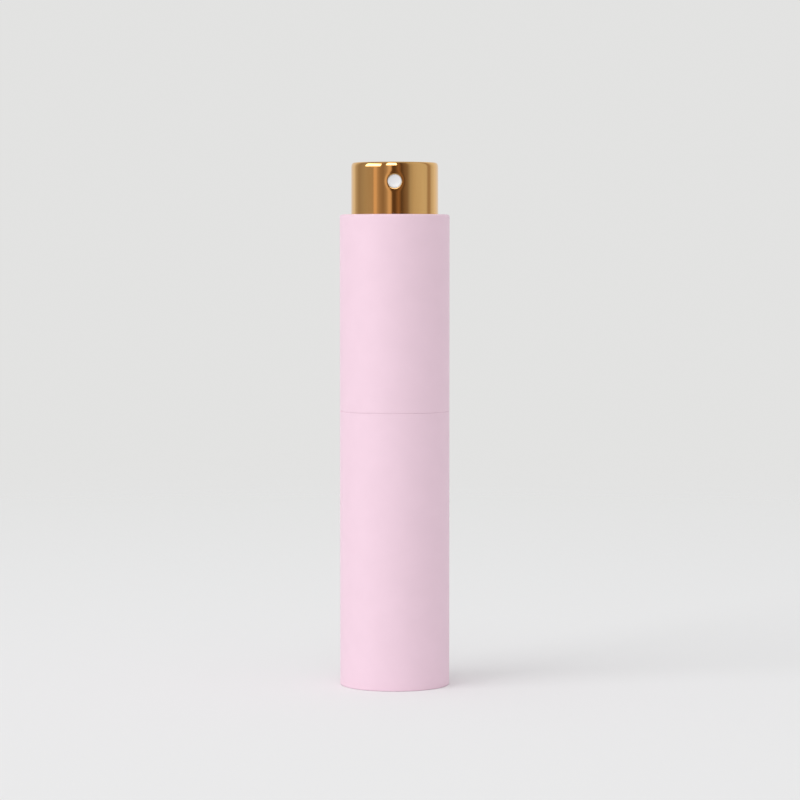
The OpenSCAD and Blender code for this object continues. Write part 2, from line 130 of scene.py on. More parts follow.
def hold_loops(bm, heights):
    """Cut a loop at each height, so that a rounded edge doesn't bend the light on a long wall."""
    for z in heights:
        bmesh.ops.bisect_plane(
            bm, geom=bm.verts[:] + bm.edges[:] + bm.faces[:],
            plane_co=(0, 0, z), plane_no=(0, 0, 1),
        )


def finish_piece(bm, name, body, slot, *nodes):
    """Make the object, smooth it, and put it in the place of its CAD nodes."""
    mesh = bpy.data.meshes.new(name)
    bm.to_mesh(mesh)
    bm.free()
    mesh.shade_smooth()
    mesh.set_sharp_from_angle(angle=SHARP)
    obj = bpy.data.objects.new(name, mesh)
    bpy.context.scene.collection.objects.link(obj)
    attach(obj, body)
    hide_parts(*nodes)
    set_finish(obj, slot)
    print(f"{name}: {len(mesh.polygons)} faces")
    return obj


print("corners sharper than", round(math.degrees(SHARP)), "degrees stay crisp")

# %% [markdown]
# The lower shell is a drawn aluminium cup. The wall is eight tenths of a millimetre, the base
# edge has a small round, and the seam edge is only broken, so that the joint stays a fine line.
# A corner of the section half a millimetre from each edge keeps the flat base flat in the light.

# %% Lower shell
WALL = 0.8 * MM
lower_low, lower_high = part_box("lower_sleeve")
BODY_R = lower_high.x
BASE = 1 * MM
BASE_EDGE = 0.22 * MM
SEAM_EDGE = 0.08 * MM
BASE_FLAT_IN = 0.5 * MM
BASE_LOOP = 0.7 * MM
SEAM_LOOP = 0.4 * MM
bm = turn([
    (0, 0), (BODY_R - BASE_FLAT_IN, 0), (BODY_R, 0), (BODY_R, lower_high.z),
    (BODY_R - WALL, lower_high.z), (BODY_R - WALL, BASE), (0, BASE),
])
round_ring(bm, BODY_R, 0, BASE_EDGE)
round_ring(bm, BODY_R, lower_high.z, SEAM_EDGE, 4)
hold_loops(bm, (BASE_LOOP, lower_high.z - SEAM_LOOP))
lower_shell = finish_piece(bm, "lower_shell", "base", "pink_lacquer", "lower_sleeve")
print("lower shell from", round(lower_low.z, 5), "to", round(lower_high.z, 5))

# %% [markdown]
# The upper shell is a tube whose top is turned in to a flat rim. The rim's outer edge has the
# larger round, which catches the light as one bright line, and its inner edge is soft as well.
# It almost touches the lower shell, so the seam shows as a faint line and not as a dark groove.

# %% Upper shell
upper_low, upper_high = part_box("upper_sleeve")
cap_low, cap_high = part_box("head_shell")
CAP_R = cap_high.x
MOUTH_GAP = 0.2 * MM
MOUTH_R = CAP_R + MOUTH_GAP
TOP_EDGE = 0.45 * MM
RIM = 0.9 * MM
RIM_FLAT_IN = 0.6 * MM
MOUTH_EDGE = 0.15 * MM
TOP_LOOP = 0.75 * MM
SEAM_GAP = 0.016 * MM
seam_z = lower_high.z + SEAM_GAP
bm = turn([
    (MOUTH_R, upper_high.z), (BODY_R - RIM_FLAT_IN, upper_high.z), (BODY_R, upper_high.z),
    (BODY_R, seam_z), (BODY_R - WALL, seam_z), (BODY_R - WALL, upper_high.z - RIM),
    (MOUTH_R, upper_high.z - RIM),
], closed=True)
round_ring(bm, BODY_R, upper_high.z, TOP_EDGE)
round_ring(bm, MOUTH_R, upper_high.z, MOUTH_EDGE, 4)
round_ring(bm, BODY_R, seam_z, SEAM_GAP, 3)
hold_loops(bm, (seam_z + SEAM_LOOP, upper_high.z - TOP_LOOP))
upper_shell = finish_piece(bm, "upper_shell", "upper", "pink_lacquer", "upper_sleeve")
print("CAD gap at the seam", round(upper_low.z - lower_high.z, 6), "and here", SEAM_GAP)

# %% [markdown]
# The gold cap is a thin drawn cup, open below, with a round window for the nozzle. Its top corner
# is a quarter of a tall ellipse, as a drawn cup has: the wall starts to lean in almost a
# millimetre below the top. That leaning stretch is what catches the lamps as two white streaks.

# %% Gold cap
CAP_WALL = 0.4 * MM
CORNER_IN = 0.4 * MM
CORNER_DOWN = 0.9 * MM
WINDOW_R = 1.31 * MM
WINDOW_EDGE = 0.05 * MM
DENT_WIDE = 0.65 * MM
DENT_DEEP = 0.045 * MM
CAP_STEPS = 192
PATCH_CELLS = 18
RIM_CUTS = 6
TOP_FLAT_IN = 1 * MM
INNER_IN = 0.1 * MM
INNER_DOWN = 0.5 * MM
FOOT_LOOP = 0.3 * MM
nose_low, nose_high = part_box("nozzle_insert")
NOZZLE_Z = (nose_low.z + nose_high.z) / 2


def corner(r, z, inwards, down, steps=12):
    """The points of an elliptical corner, from the flat top round to the wall."""
    turns = [math.pi / 2 * (1 - i / steps) for i in range(steps + 1)]
    return [(r - inwards * (1 - math.cos(t)), z - down * (1 - math.sin(t))) for t in turns]


bm = turn(
    [(0, cap_high.z), (CAP_R - TOP_FLAT_IN, cap_high.z)]
    + corner(CAP_R, cap_high.z, CORNER_IN, CORNER_DOWN)
    + [(CAP_R, cap_low.z), (CAP_R - CAP_WALL, cap_low.z)]
    + corner(CAP_R - CAP_WALL, cap_high.z - CAP_WALL, INNER_IN, INNER_DOWN, 4)[::-1]
    + [(0, cap_high.z - CAP_WALL)],
    steps=CAP_STEPS,
)
PATCH_HALF = CAP_R * math.sin(PATCH_CELLS / 2 * math.tau / CAP_STEPS)
rows = [NOZZLE_Z + PATCH_HALF * (2 * i / PATCH_CELLS - 1) for i in range(PATCH_CELLS + 1)]
hold_loops(bm, rows + [cap_low.z + FOOT_LOOP])
print("cap radius", round(CAP_R, 5))

# %% [markdown]
# The window can't be a boolean cut, because the polished wall would show every stray edge beside
# it. So a square patch of the wall's own grid is taken out of each side of the wall, a circle
# laid on the wall is bridged to the gap, and the two circles are bridged to each other. Punching
# leaves a very shallow dent round the hole, and the reflections bend round it.


# %% Window
WALL_NEAR = 0.1 * MM
CELL_NEAR = 0.05 * MM
PATCH_MARGIN = 0.02 * MM
CIRCLE_NEAR = 0.001 * MM


def lay_on_wall(bm, r, dent):
    """Push the window's points along Y onto a wall of radius r, deeper close to the window."""
    for v in bm.verts:
        if v.co.y > 0 or abs(math.hypot(v.co.x, v.co.y) - r) > WALL_NEAR:
            continue
        if max(abs(v.co.x), abs(v.co.z - NOZZLE_Z)) > PATCH_HALF:
            continue
        past = math.hypot(v.co.x, v.co.z - NOZZLE_Z) - WINDOW_R
        near = min(max(1 - past / DENT_WIDE, 0), 1)
        here = r - dent * near * near * (3 - 2 * near)
        v.co.y = -math.sqrt(here * here - v.co.x * v.co.x)


def on_rim(edge, r):
    """Whether an edge is part of the window's circle in the wall of radius r."""
    for v in edge.verts:
        if v.co.y > 0 or abs(math.hypot(v.co.x, v.co.y) - r) > WALL_NEAR:
            return False
        if abs(math.hypot(v.co.x, v.co.z - NOZZLE_Z) - WINDOW_R) > CIRCLE_NEAR:
            return False
    return True


def open_window(bm, r, dent):
    """Swap a square patch of one wall for faces round a circle, and return the circle."""
    half_x = PATCH_HALF * r / CAP_R + PATCH_MARGIN
    half_z = PATCH_HALF + PATCH_MARGIN

    def inside(f):
        c = f.calc_center_median()
        flat = abs(math.hypot(c.x, c.y) - r) < CELL_NEAR
        return flat and c.y < 0 and abs(c.x) < half_x and abs(c.z - NOZZLE_Z) < half_z

    patch = [f for f in bm.faces if inside(f)]
    border = [
        e for e in {e for f in patch for e in f.edges}
        if sum(f in patch for f in e.link_faces) == 1
    ]
    keep = set(border)
    bmesh.ops.delete(bm, geom=patch, context="FACES_ONLY")
    loose = [e for e in bm.edges if not e.link_faces and e not in keep]
    bmesh.ops.delete(bm, geom=loose, context="EDGES")
    lone = [v for v in bm.verts if not v.link_edges]
    bmesh.ops.delete(bm, geom=lone, context="VERTS")
    face_on = Matrix.Translation((0, 0, NOZZLE_Z)) @ Matrix.Rotation(math.pi / 2, 4, "X")
    circle = bmesh.ops.create_circle(
        bm, radius=WINDOW_R, segments=len(border), cap_ends=False, matrix=face_on,
    )["verts"]
    for v in circle:
        v.co.y = -math.sqrt(r * r - v.co.x * v.co.x)
    rim = list({e for v in circle for e in v.link_edges})
    spokes = bmesh.ops.bridge_loops(bm, edges=border + rim)["edges"]
    bmesh.ops.subdivide_edges(bm, edges=spokes, cuts=RIM_CUTS)
    lay_on_wall(bm, r, dent)
    return [e for e in bm.edges if on_rim(e, r)]


outer_rim = open_window(bm, CAP_R, DENT_DEEP)
inner_rim = open_window(bm, CAP_R - CAP_WALL, 0)
bmesh.ops.bridge_loops(bm, edges=outer_rim + inner_rim)
bmesh.ops.recalc_face_normals(bm, faces=bm.faces)
bmesh.ops.bevel(
    bm, geom=outer_rim, offset=WINDOW_EDGE, segments=3, profile=0.5,
    affect="EDGES", material=-1, clamp_overlap=True,
)
print("open edges:", sum(len(e.link_faces) != 2 for e in bm.edges))
gold_cap = finish_piece(bm, "gold_cap", "head", "gold", "head_shell")

# %% [markdown]
# The nozzle insert is white plastic, and its nose fills the window. Its face is a shallow dish
# with the hair-fine spray hole in the middle. The dish turns its right side to the main light,
# so the face runs from pale grey at the upper left to white at the lower right.

# %% Nozzle insert
NOSE_R = WINDOW_R - 0.03 * MM
NOSE_EDGE = 0.1 * MM
NOSE_LAND = 0.16 * MM
DISH_R = NOSE_R - NOSE_LAND
DISH = 0.14 * MM
INSERT_R = (nose_high.x - nose_low.x) / 2
INSERT_CUP_R = 1 * MM
HOLE_R = 0.03 * MM
DISH_STEPS = 6
NOSE_LONG = 2.6 * MM
CUP_FLOOR = 0.6 * MM
SHOULDER_EDGE = 0.15 * MM
front, back = -nose_low.y, -nose_high.y
shoulder = back + NOSE_LONG
cup_floor = shoulder - CUP_FLOOR
dish = []
for i in range(DISH_STEPS + 1):
    r = HOLE_R + (DISH_R - HOLE_R) * i / DISH_STEPS
    dish.append((r, front - DISH * (1 - (r / DISH_R) ** 2)))
bm = turn(dish + [
    (NOSE_R, front), (NOSE_R, shoulder), (INSERT_R, shoulder), (INSERT_R, back),
    (INSERT_CUP_R, back), (INSERT_CUP_R, cup_floor), (HOLE_R, cup_floor),
], closed=True, steps=96)
round_ring(bm, NOSE_R, front, NOSE_EDGE, 4)
round_ring(bm, INSERT_R, shoulder, SHOULDER_EDGE, 3)
bmesh.ops.transform(
    bm, verts=bm.verts,
    matrix=Matrix.Translation((0, 0, NOZZLE_Z)) @ Matrix.Rotation(math.pi / 2, 4, "X"),
)
nozzle = finish_piece(bm, "nozzle", "head", "white_plastic", "nozzle_insert")

# %% [markdown]
# Three pieces inside are worth their own surfaces, because the vial pulls out and shows them: the
# vial, its screw collar, and the pump's return spring. Two of them have a screw thread. A thread
# is a small section swept along a helix, which starts and ends thin, as a moulded thread does.


# %% Sweeps along a helix
ON_ROOT = 0.001 * MM
RUN_OUTS = 12
THIN_END = 0.1


def outline(bm, points):
    """A closed outline in the XZ plane, as points and edges."""
    verts = [bm.verts.new((r, 0, z)) for r, z in points]
    return verts + [bm.edges.new(pair) for pair in zip(verts, verts[1:] + verts[:1])]


def sweep(bm, geom, rise, turns, steps):
    """Turn an outline about Z while it rises, and return the last outline."""
    count = round(turns * steps)
    return bmesh.ops.spin(
        bm, geom=geom, cent=(0, 0, 0), axis=(0, 0, 1), dvec=(0, 0, rise / count),
        angle=math.tau * turns, steps=count, use_merge=False,
    )["geom_last"]


def close_ends(bm):
    """Put a face on each open end, and turn all the faces outwards."""
    bmesh.ops.holes_fill(bm, edges=[e for e in bm.edges if e.is_boundary])
    bmesh.ops.recalc_face_normals(bm, faces=bm.faces)


def thread(bm, root, crest, root_w, crest_w, z, pitch, turns, steps=96):
    """Add a thread whose ends run out to nothing in a twelfth of a turn."""
    before = set(bm.verts)
    start = outline(bm, [
        (root, z - root_w / 2), (crest, z - crest_w / 2),
        (crest, z + crest_w / 2), (root, z + root_w / 2),
    ])
    sweep(bm, start, pitch * turns, turns, steps)
    for v in set(bm.verts) - before:
        r = math.hypot(v.co.x, v.co.y)
        if abs(r - root) < ON_ROOT:
            continue
        along = (v.co.z - z) / pitch
        thin = min(max(min(along, turns - along) * RUN_OUTS + THIN_END, THIN_END), 1)
        scale = (root + (crest - root) * thin) / r
        v.co.x *= scale
        v.co.y *= scale
    close_ends(bm)


print("a thread runs out to", THIN_END, "of its height in 1 /", RUN_OUTS, "of a turn")

# %% [markdown]
# The vial is drawn glass tube, worked in a flame: a thick flat floor, a rounded shoulder and a
# short neck with a rounded lip. Glass shows both of its walls, so the inside is rounded too.

# %% Glass vial
vial_low, vial_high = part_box("glass_vial")
VIAL_R = vial_high.x
VIAL_WALL = 0.9 * MM
VIAL_FLOOR = 1.2 * MM
NECK_R = VIAL_R - 1.2 * MM
BORE_R = NECK_R - 1.4 * MM
NECK_TALL = 6.6 * MM
PITCH = 1.5 * MM
TURNS = 1.75
THREAD_TALL = 0.5 * MM
THREAD_DROP = 1.25 * MM
THREAD_SINK = 0.02 * MM
FOOT_EDGE = 0.6 * MM
SHOULDER_ROUND = 1.0 * MM
INSIDE_ROUND = 0.9 * MM
NECK_EDGE = 0.15 * MM
LIP_EDGE = 0.3 * MM
neck_z = vial_high.z - NECK_TALL
inner_r = VIAL_R - VIAL_WALL
inner_top = neck_z - VIAL_WALL
inner_floor = vial_low.z + VIAL_FLOOR
bm = turn([
    (0, vial_low.z), (VIAL_R, vial_low.z), (VIAL_R, neck_z), (NECK_R, neck_z),
    (NECK_R, vial_high.z), (BORE_R, vial_high.z), (BORE_R, inner_top), (inner_r, inner_top),
    (inner_r, inner_floor), (0, inner_floor),
], steps=128)
round_ring(bm, VIAL_R, vial_low.z, FOOT_EDGE)
round_ring(bm, VIAL_R, neck_z, SHOULDER_ROUND, 8)
round_ring(bm, NECK_R, neck_z, NECK_EDGE, 3)
round_ring(bm, NECK_R, vial_high.z, LIP_EDGE, 4)
round_ring(bm, BORE_R, vial_high.z, LIP_EDGE, 4)
round_ring(bm, BORE_R, inner_top, LIP_EDGE, 4)
round_ring(bm, inner_r, inner_top, INSIDE_ROUND, 8)
round_ring(bm, inner_r, inner_floor, INSIDE_ROUND, 8)
thread_z = vial_high.z - THREAD_DROP - PITCH * TURNS
thread(
    bm, NECK_R - THREAD_SINK, NECK_R + THREAD_TALL, 0.75 * MM, 0.35 * MM,
    thread_z, PITCH, TURNS,
)
vial = finish_piece(bm, "vial", "vial", "clear_glass", "glass_vial")

# %% [markdown]
# The collar is a white moulded cap with a hole for the pump's stem. Fine grooves down its side
# give the mould a grip and the fingers too. They stop short of the rounded top and bottom edges.

# %% Screw collar
GROOVES = 60
GROOVE_DEEP = 0.13 * MM
GROOVE_END = 0.8 * MM
collar_low, collar_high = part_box("screw_collar")
COLLAR_R = collar_high.x
COLLAR_WALL = 0.55 * MM
COLLAR_TOP = 1 * MM
STEM_HOLE_R = 4.04 * MM
COLLAR_TOP_EDGE = 0.3 * MM
COLLAR_EDGE = 0.15 * MM
GROOVE_RUN = 0.25 * MM
GROOVE_NEAR = 0.1 * MM
THREAD_SHORT = 0.05 * MM
collar_in = COLLAR_R - COLLAR_WALL
under = collar_high.z - COLLAR_TOP
bm = turn([
    (STEM_HOLE_R, collar_high.z), (COLLAR_R, collar_high.z), (COLLAR_R, collar_low.z),
    (collar_in, collar_low.z), (collar_in, under), (STEM_HOLE_R, under),
], closed=True, steps=GROOVES * 4)
round_ring(bm, COLLAR_R, collar_high.z, COLLAR_TOP_EDGE, 5)
round_ring(bm, COLLAR_R, collar_low.z, COLLAR_EDGE, 3)
round_ring(bm, STEM_HOLE_R, collar_high.z, COLLAR_EDGE, 3)
low_end = collar_low.z + GROOVE_END
high_end = collar_high.z - GROOVE_END
hold_loops(bm, (low_end, low_end + GROOVE_RUN, high_end - GROOVE_RUN, high_end))
for v in bm.verts:
    r = math.hypot(v.co.x, v.co.y)
    grooved = low_end + GROOVE_NEAR < v.co.z < high_end - GROOVE_NEAR
    if grooved and abs(r - COLLAR_R) < 0.01 * MM:
        wave = math.cos(math.atan2(v.co.y, v.co.x) * GROOVES)
        scale = 1 - GROOVE_DEEP * (0.5 - 0.5 * wave) / COLLAR_R
        v.co.x *= scale
        v.co.y *= scale
thread(
    bm, collar_in + THREAD_SINK, collar_in - THREAD_TALL + THREAD_SHORT, 0.6 * MM, 0.3 * MM,
    thread_z - PITCH / 2, PITCH, TURNS,
)
collar = finish_piece(bm, "collar", "collar", "white_plastic", "screw_collar")

# %% [markdown]
# The return spring is one sweep of the wire: a closed turn at each end, lying on its neighbour,
# and five open turns between them. On the real pump a full press squashes it from the top down,
# with its foot on the pump's floor, to a little over half of its length.

# %% Return spring
WIRE_R = 0.2 * MM
WIRE_SIDES = 12
OPEN_TURNS = 5
spring_low, spring_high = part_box("return_spring")
SPRING_R = spring_high.x - WIRE_R
CLOSED_PITCH = 2.05
TURN_STEPS = 48
closed_rise = CLOSED_PITCH * WIRE_R
open_rise = spring_high.z - spring_low.z - 2 * WIRE_R - 2 * closed_rise
bm = bmesh.new()
angles = [math.tau * i / WIRE_SIDES for i in range(WIRE_SIDES)]
wire_z = spring_low.z + WIRE_R
end = outline(bm, [
    (SPRING_R + WIRE_R * math.cos(a), wire_z + WIRE_R * math.sin(a)) for a in angles
])
for rise, turns in ((closed_rise, 1), (open_rise, OPEN_TURNS), (closed_rise, 1)):
    end = sweep(bm, end, rise, turns, TURN_STEPS)
close_ends(bm)
spring = finish_piece(bm, "spring", "pump", "spring_steel", "return_spring")
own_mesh(spring)
print("spring length", round(spring_high.z - spring_low.z, 5))

# %% [markdown]
# Each finish is a small network of nodes. All of them read Object coordinates, in metres, so a
# pattern has its real scale: a noise with a scale of 5000 has grains about a fifth of a
# millimetre across.


# %% Finish helpers
def new_material(name):
    """A material with its Principled shader, ready for nodes."""
    mat = bpy.data.materials.new(name)
    mat.use_nodes = True
    shader = mat.node_tree.nodes["Principled BSDF"]
    return mat, mat.node_tree, shader


def noise(tree, scale, detail=3.0, stretch=(1, 1, 1)):
    """A noise on Object coordinates. A stretch under 1 draws the grain out along that axis."""
    coords = tree.nodes.new("ShaderNodeTexCoord")
    mapping = tree.nodes.new("ShaderNodeMapping")
    mapping.inputs["Scale"].default_value = stretch
    texture = tree.nodes.new("ShaderNodeTexNoise")
    texture.inputs["Scale"].default_value = scale
    texture.inputs["Detail"].default_value = detail
    tree.links.new(coords.outputs["Object"], mapping.inputs["Vector"])
    tree.links.new(mapping.outputs["Vector"], texture.inputs["Vector"])
    return texture.outputs["Fac"]


def spread(tree, value, low, high):
    """Map a noise, which stays near the middle, to a range of numbers."""
    node = tree.nodes.new("ShaderNodeMapRange")
    node.inputs["From Min"].default_value = 0.3
    node.inputs["From Max"].default_value = 0.7
    node.inputs["To Min"].default_value = low
    node.inputs["To Max"].default_value = high
    tree.links.new(value, node.inputs["Value"])
    return node.outputs["Result"]


def blend_colours(tree, value, first, second):
    """A ramp between two colours."""
    ramp = tree.nodes.new("ShaderNodeValToRGB")
    ramp.color_ramp.elements[0].position = 0.3
    ramp.color_ramp.elements[1].position = 0.7
    ramp.color_ramp.elements[0].color = (*first, 1)
    ramp.color_ramp.elements[1].color = (*second, 1)
    tree.links.new(value, ramp.inputs["Fac"])
    return ramp.outputs["Color"]


def bump(tree, shader, height, strength, distance):
    """Fine relief on the surface, of a real depth in metres."""
    node = tree.nodes.new("ShaderNodeBump")
    node.inputs["Strength"].default_value = strength
    node.inputs["Distance"].default_value = distance
    tree.links.new(height, node.inputs["Height"])
    tree.links.new(node.outputs["Normal"], shader.inputs["Normal"])


print("all patterns are in metres, on Object coordinates")

# %% [markdown]
# The pink is a sprayed matt lacquer. Seen close, it has the fine dimpled grain that spray
# leaves, and its gloss drifts a little from place to place. The colour changes only slightly.

# %% Pink lacquer
pink, tree, shader = new_material("pink_lacquer")
tint = blend_colours(tree, noise(tree, 260, 2), (0.862, 0.634, 0.742), (0.880, 0.648, 0.758))
tree.links.new(tint, shader.inputs["Base Color"])
tree.links.new(spread(tree, noise(tree, 900), 0.46, 0.54), shader.inputs["Roughness"])
bump(tree, shader, noise(tree, 5200, 2), 0.25, 0.004 * MM)
shader.inputs["Specular IOR Level"].default_value = 0.42
print(pink.name, "nodes:", len(tree.nodes))

# %% [markdown]
# The cap is aluminium, polished and gold anodised. Polishing leaves very fine lines along the
# wall, which draw the reflections out a little, so its roughness and relief are stretched noise.

# %% Gold
gold, tree, shader = new_material("gold")
tint = blend_colours(
    tree, noise(tree, 700, 2, (1, 1, 0.1)), (0.70, 0.415, 0.150), (0.74, 0.447, 0.170),
)
tree.links.new(tint, shader.inputs["Base Color"])
shader.inputs["Metallic"].default_value = 1
tree.links.new(
    spread(tree, noise(tree, 2500, 3, (1, 1, 0.04)), 0.04, 0.075), shader.inputs["Roughness"])
bump(tree, shader, noise(tree, 3000, 2, (1, 1, 0.03)), 0.2, 0.0004 * MM)
print(gold.name, "nodes:", len(tree.nodes))

# %% [markdown]
# The moulded plastics differ in gloss and in how far light goes into them. White polypropylene
# is glossy, natural polyethylene is waxy and slightly see-through, and silicone is matt.


# %% Plastics
def moulded(name, light, dark, rough_low, rough_high, scatter, grain):
    """A moulded plastic with faint flow marks and its own surface grain."""
    mat, tree, shader = new_material(name)
    tint = blend_colours(tree, noise(tree, 320, 3, (1, 1, 0.3)), dark, light)
    tree.links.new(tint, shader.inputs["Base Color"])
    tree.links.new(
        spread(tree, noise(tree, 1800), rough_low, rough_high), shader.inputs["Roughness"])
    bump(tree, shader, noise(tree, grain, 2), 0.15, 0.004 * MM)
    shader.inputs["Subsurface Weight"].default_value = scatter
    shader.inputs["Subsurface Scale"].default_value = 0.5 * MM
    shader.inputs["Subsurface Radius"].default_value = (1, 0.9, 0.8)
    return mat


white = moulded("white_plastic", (0.85, 0.86, 0.88), (0.82, 0.83, 0.85), 0.25, 0.34, 0.1, 3000)
natural = moulded("natural_plastic", (0.80, 0.82, 0.82), (0.74, 0.76, 0.77), 0.38, 0.5, 0.3, 2400)
silicone = moulded("silicone", (0.55, 0.56, 0.57), (0.48, 0.49, 0.50), 0.55, 0.7, 0.05, 4200)
print("plastics:", white.name, natural.name, silicone.name)

# %% [markdown]
# The vial is clear tubular glass, drawn and reworked in a flame, so its wall has faint waves.
# The spring and the ball are bright stainless steel with the marks of drawing and lapping.

# %% Glass and steel
glass, tree, shader = new_material("clear_glass")
shader.inputs["Base Color"].default_value = (0.93, 0.97, 0.96, 1)
shader.inputs["Transmission Weight"].default_value = 1
shader.inputs["IOR"].default_value = 1.5
tree.links.new(spread(tree, noise(tree, 400), 0.01, 0.03), shader.inputs["Roughness"])
bump(tree, shader, noise(tree, 150, 1, (1, 1, 0.3)), 0.12, 0.008 * MM)

steel, tree, shader = new_material("spring_steel")
tint = blend_colours(tree, noise(tree, 2600), (0.60, 0.60, 0.61), (0.70, 0.70, 0.71))
tree.links.new(tint, shader.inputs["Base Color"])
shader.inputs["Metallic"].default_value = 1
tree.links.new(spread(tree, noise(tree, 5200), 0.16, 0.28), shader.inputs["Roughness"])
print("glass and steel:", glass.name, steel.name)

# %% [markdown]
# Each part of the real object has one finish, and the record names it as a slot. The pieces made
# above take theirs from the slot they were given, and the parts that keep their CAD meshes take
# theirs from the record. One table does for both, so a finish is never put on by hand twice.

# %% Put the finishes on
BY_SLOT = {
    "pink_lacquer": pink, "gold": gold, "white_plastic": white, "natural_plastic": natural,
    "silicone": silicone, "clear_glass": glass, "spring_steel": steel,
}
slot_of = {s["node"]: s["material_slot"] for s in frame["record"]["subparts"]}
for name, obj in frame["nodes"].items():
    obj.data.materials.clear()
    obj.data.materials.append(BY_SLOT[slot_of[name]])
for obj in (lower_shell, upper_shell, gold_cap, nozzle, vial, collar, spring):
    obj.data.materials.append(BY_SLOT[obj["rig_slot"]])
print("finishes:", ", ".join(BY_SLOT))

# %% [markdown]
# The table is pale and matt, so the pink only tints it beside the base, and the lamps don't
# glare in it. It fades into the backdrop with distance, so no edge shows behind the object.

# %% Table
TABLE_R = 0.62
FADE_FROM = 0.02
bm = bmesh.new()
bmesh.ops.create_circle(bm, cap_ends=True, radius=TABLE_R, segments=96)
mesh = bpy.data.meshes.new("table")
bm.to_mesh(mesh)
bm.free()
table = bpy.data.objects.new("table", mesh)
bpy.context.scene.collection.objects.link(table)
table_finish, tree, shader = new_material("table_finish")
shader.inputs["Base Color"].default_value = (0.866, 0.868, 0.872, 1)
shader.inputs["Roughness"].default_value = 0.9
shader.inputs["Specular IOR Level"].default_value = 0
coords = tree.nodes.new("ShaderNodeTexCoord")
length = tree.nodes.new("ShaderNodeVectorMath")
length.operation = "LENGTH"
tree.links.new(coords.outputs["Object"], length.inputs[0])
fade = tree.nodes.new("ShaderNodeMapRange")
fade.interpolation_type = "SMOOTHSTEP"
fade.inputs["From Min"].default_value = FADE_FROM
fade.inputs["From Max"].default_value = TABLE_R
tree.links.new(length.outputs["Value"], fade.inputs["Value"])
clear = tree.nodes.new("ShaderNodeBsdfTransparent")
mix = tree.nodes.new("ShaderNodeMixShader")
tree.links.new(fade.outputs["Result"], mix.inputs["Fac"])
tree.links.new(shader.outputs["BSDF"], mix.inputs[1])
tree.links.new(clear.outputs["BSDF"], mix.inputs[2])
tree.links.new(mix.outputs["Shader"], tree.nodes["Material Output"].inputs["Surface"])
mesh.materials.append(table_finish)
print("table radius", TABLE_R)

# %% [markdown]
# The studio is a ring of soft panels with gaps between them. On a polished cylinder each panel
# or gap becomes one upright band, and the gaps show darker and warmer, because they reflect the
# room. The ring is a brightness for each direction round the object, in degrees from the front,
# and only reflections see it. Two bright lamps are laid over it, and light the cap's top edge.

# %% Directions in the studio
PANELS = [  # degrees, brightness, warmth
    (-180, 0.84, 0.0), (-134, 0.90, 0.0), (-124, 0.62, 0.1), (-109, 0.41, 0.3),
    (-96, 0.46, 0.2), (-85, 0.52, 0.2), (-65, 0.53, 0.3), (-59, 0.55, 0.4), (-56, 0.90, 0.6),
    (-50, 0.88, 0.6), (-46, 0.60, 0.6), (-39, 0.43, 0.6), (-30, 0.36, 0.6), (-22, 0.50, 0.5),
    (-15, 0.86, 0.5), (-10, 0.82, 0.6), (-6, 0.15, 1.0), (1, 0.13, 0.9), (10, 0.36, 1.0),
    (18, 0.12, 0.8), (26, 0.24, 0.7), (34, 0.30, 0.5), (42, 0.54, 0.1), (52, 0.68, 0.1),
    (80, 0.77, 0.0), (92, 0.74, 0.0), (99, 0.46, 0.4), (106, 0.48, 0.4), (114, 0.72, 0.0),
    (130, 0.95, 0.0), (180, 0.84, 0.0),
]
LAMPS = [  # from and to round the object, then from and to in height, in degrees
    (-84, -38, 7, 34), (-23, 5, 17, 52),
]
LAMP_GAIN = 5.0
LAMP_SOFT_ASIDE = 2
LAMP_SOFT_UP = 1.5
CEILING_FROM = 60
CEILING_SOFT = 6
CEILING = 0.6
BACKDROP = (0.765, 0.765, 0.757)
AMBIENT = 0.735
world = bpy.data.worlds.new("studio")
bpy.context.scene.world = world
world.use_nodes = True
tree = world.node_tree
tree.nodes.clear()


def math_node(tree, operation, first, second):
    """One Math node; each input is a number or another node's output."""
    node = tree.nodes.new("ShaderNodeMath")
    node.operation = operation
    for socket, value in zip(node.inputs, (first, second)):
        if isinstance(value, (int, float)):
            socket.default_value = value
        else:
            tree.links.new(value, socket)
    return node.outputs["Value"]


coords = tree.nodes.new("ShaderNodeTexCoord")
split = tree.nodes.new("ShaderNodeSeparateXYZ")
tree.links.new(coords.outputs["Generated"], split.inputs["Vector"])
to_front = math_node(tree, "MULTIPLY", split.outputs["Y"], -1)
azimuth = math_node(tree, "ARCTAN2", split.outputs["X"], to_front)
turn_part = math_node(tree, "DIVIDE", azimuth, math.tau)
around = math_node(tree, "ADD", turn_part, 0.5)
height = math_node(tree, "ARCSINE", split.outputs["Z"], 0)
print("nodes that find a direction:", len(tree.nodes))

# %% [markdown]
# The panels could be lit planes round the object, but those would light the table too, and be
# slow to place. A colour ramp read by direction gives the same reflections. Each stop is the
# brightness and warmth at one angle, and a panel is a stretch that stays bright. Above sixty
# degrees the ring gives way to an even ceiling.


# %% Panels and lamps
def ring(tree, stops):
    """A colour for each direction round the object, from stops of degrees, brightness, warmth."""
    ramp = tree.nodes.new("ShaderNodeValToRGB")
    stop = ramp.color_ramp.elements[0]
    ramp.color_ramp.elements.remove(ramp.color_ramp.elements[1])
    for i, (degrees, level, warmth) in enumerate(stops):
        place = degrees / 360 + 0.5
        if i:
            stop = ramp.color_ramp.elements.new(place)
        stop.position = place
        stop.color = (level, level * (1 - 0.42 * warmth), level * (1 - 0.65 * warmth), 1)
    tree.links.new(around, ramp.inputs["Fac"])
    return ramp.outputs["Color"]


